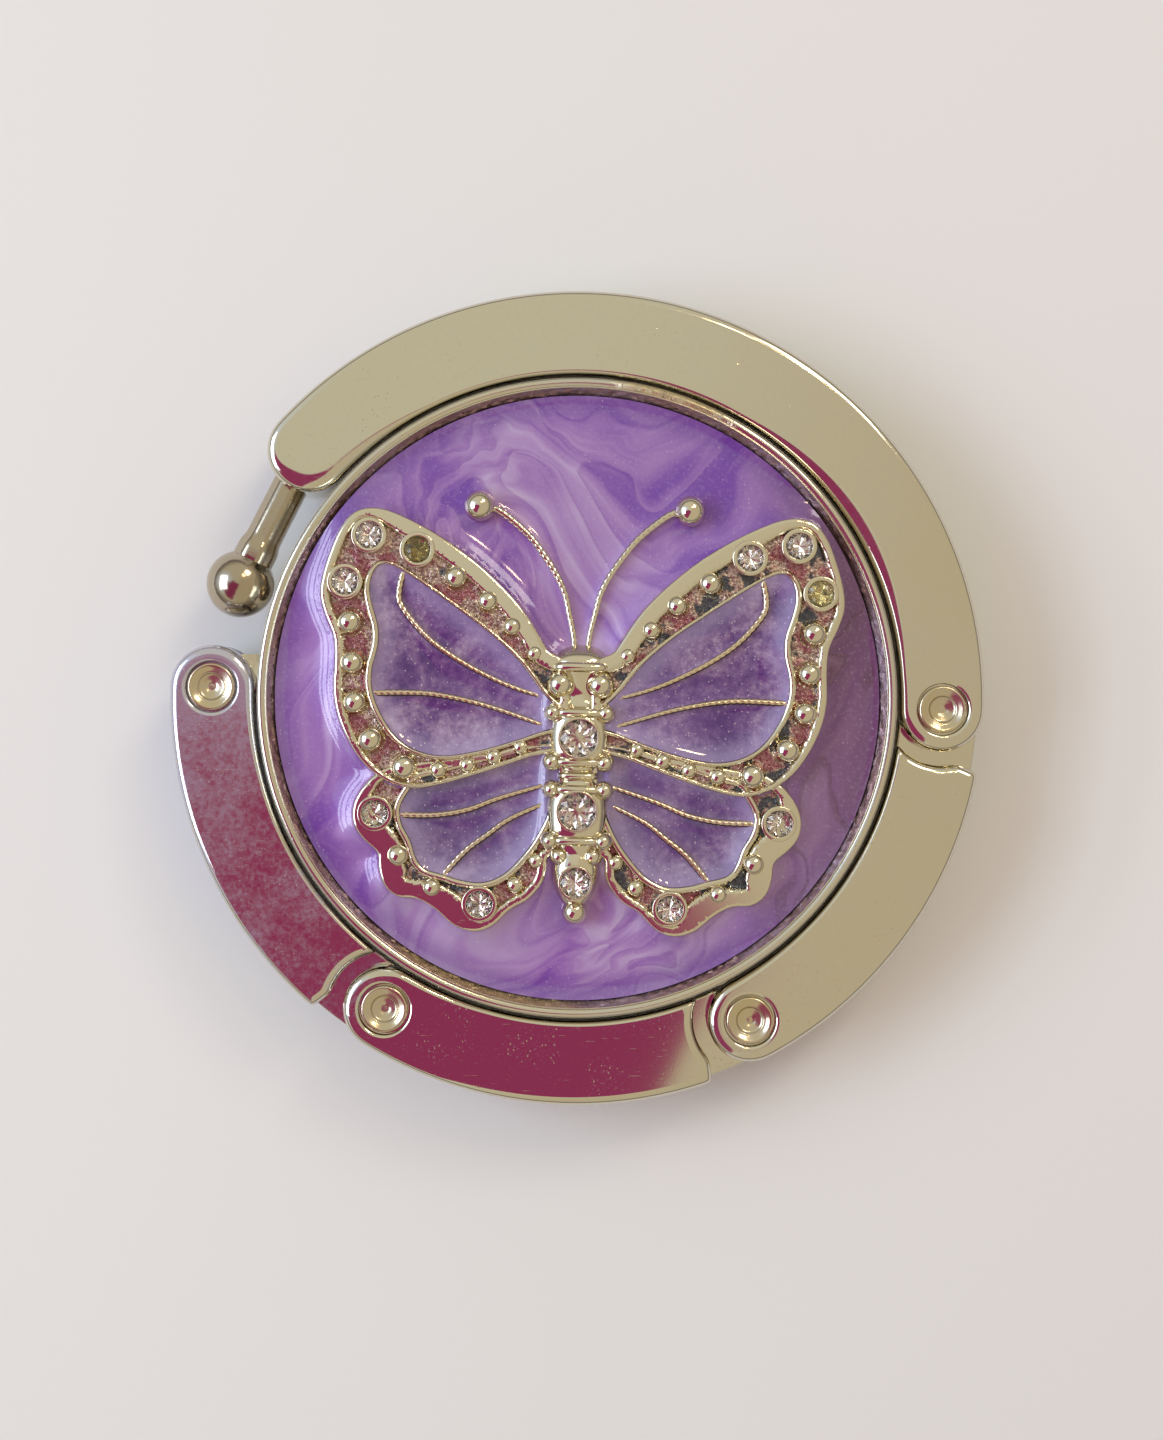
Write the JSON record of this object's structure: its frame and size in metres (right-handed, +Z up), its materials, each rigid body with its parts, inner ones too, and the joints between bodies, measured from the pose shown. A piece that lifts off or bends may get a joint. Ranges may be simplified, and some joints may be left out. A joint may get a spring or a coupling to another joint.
{
  "type": "folding purse hook",
  "caption": "Round folding table hook for a handbag, closed: a jewelled butterfly medallion on a rubber pad, ringed by a riveted chain of links and a hook arm with a ball end.",
  "frame": {"origin": "centre of the rubber pad's underside, on the table", "axes": "+Z is up out of the medallion's face, +Y is the butterfly's head end, and the swivel points to -X"},
  "size_m": [0.0452, 0.0452, 0.008],
  "materials": {
    "plated_case": "polished nickel-coloured plate over a zinc casting",
    "plated_chain": "polished nickel-coloured plate over zinc castings",
    "plated_butterfly": "plated casting, bright on the borders and matt in the channels",
    "plated_pin": "turned and plated, with a slightly rough neck",
    "rivet_steel": "plated steel rivet with a spun head",
    "washer_steel": "plain spring steel",
    "field_enamel": "glossy pearl enamel, marbled purple and lilac",
    "wing_enamel": "clear glitter enamel over a darker purple",
    "clear_stone": "faceted clear crystal with a mirrored back",
    "pad_rubber": "matt soft rubber"
  },
  "bodies": {
    "disc": {"rubber_pad": "pad_rubber", "base_drum": "plated_case", "medallion_tray": "plated_case", "enamel_field": "field_enamel", "butterfly": "plated_butterfly", "wing_enamel_upper_right": "wing_enamel", "wing_enamel_lower_right": "wing_enamel", "wing_enamel_upper_left": "wing_enamel", "wing_enamel_lower_left": "wing_enamel", "stone_upper_right_1": "clear_stone", "stone_upper_right_2": "clear_stone", "stone_upper_right_3": "clear_stone", "stone_lower_right_1": "clear_stone", "stone_lower_right_2": "clear_stone", "stone_upper_left_1": "clear_stone", "stone_upper_left_2": "clear_stone", "stone_upper_left_3": "clear_stone", "stone_lower_left_1": "clear_stone", "stone_lower_left_2": "clear_stone", "stone_body_1": "clear_stone", "stone_body_2": "clear_stone", "stone_body_3": "clear_stone"},
    "swivel": {"swivel_lug": "plated_chain", "swivel_washer": "washer_steel"},
    "first_link": {"link_1": "plated_chain", "rivet_1": "rivet_steel"},
    "second_link": {"link_2": "plated_chain", "rivet_2": "rivet_steel"},
    "third_link": {"link_3": "plated_chain", "rivet_3": "rivet_steel"},
    "hook": {"hook_arm": "plated_chain", "ball_pin": "plated_pin", "rivet_4": "rivet_steel"}
  },
  "joints": [
    {"name": "swivel_turn", "type": "hinge", "parent": "disc", "child": "swivel", "pos_m": [0, 0, 0.00365], "axis": [0.9995, -0.0314, 0], "range_deg": [0, 90]},
    {"name": "first_hinge", "type": "hinge", "parent": "swivel", "child": "first_link", "pos_m": [-0.0203, 0.00064, 0.00365], "axis": [0, 0, -1], "range_deg": [0, 66]},
    {"name": "second_hinge", "type": "hinge", "parent": "first_link", "child": "second_link", "pos_m": [-0.0107, -0.01726, 0.00365], "axis": [0, 0, -1], "range_deg": [0, 10]},
    {"name": "third_hinge", "type": "hinge", "parent": "second_link", "child": "third_link", "pos_m": [0.0096, -0.0179, 0.00365], "axis": [0, 0, -1], "range_deg": [0, 10]},
    {"name": "hook_hinge", "type": "hinge", "parent": "third_link", "child": "hook", "pos_m": [0.0203, -0.00064, 0.00365], "axis": [0, 0, -1], "range_deg": [0, 112]}
  ],
  "couplings": [
    {"joint": "first_hinge", "follows": "hook_hinge", "ratio": 0.589},
    {"joint": "second_hinge", "follows": "hook_hinge", "ratio": 0.089},
    {"joint": "third_hinge", "follows": "hook_hinge", "ratio": 0.089}
  ]
}
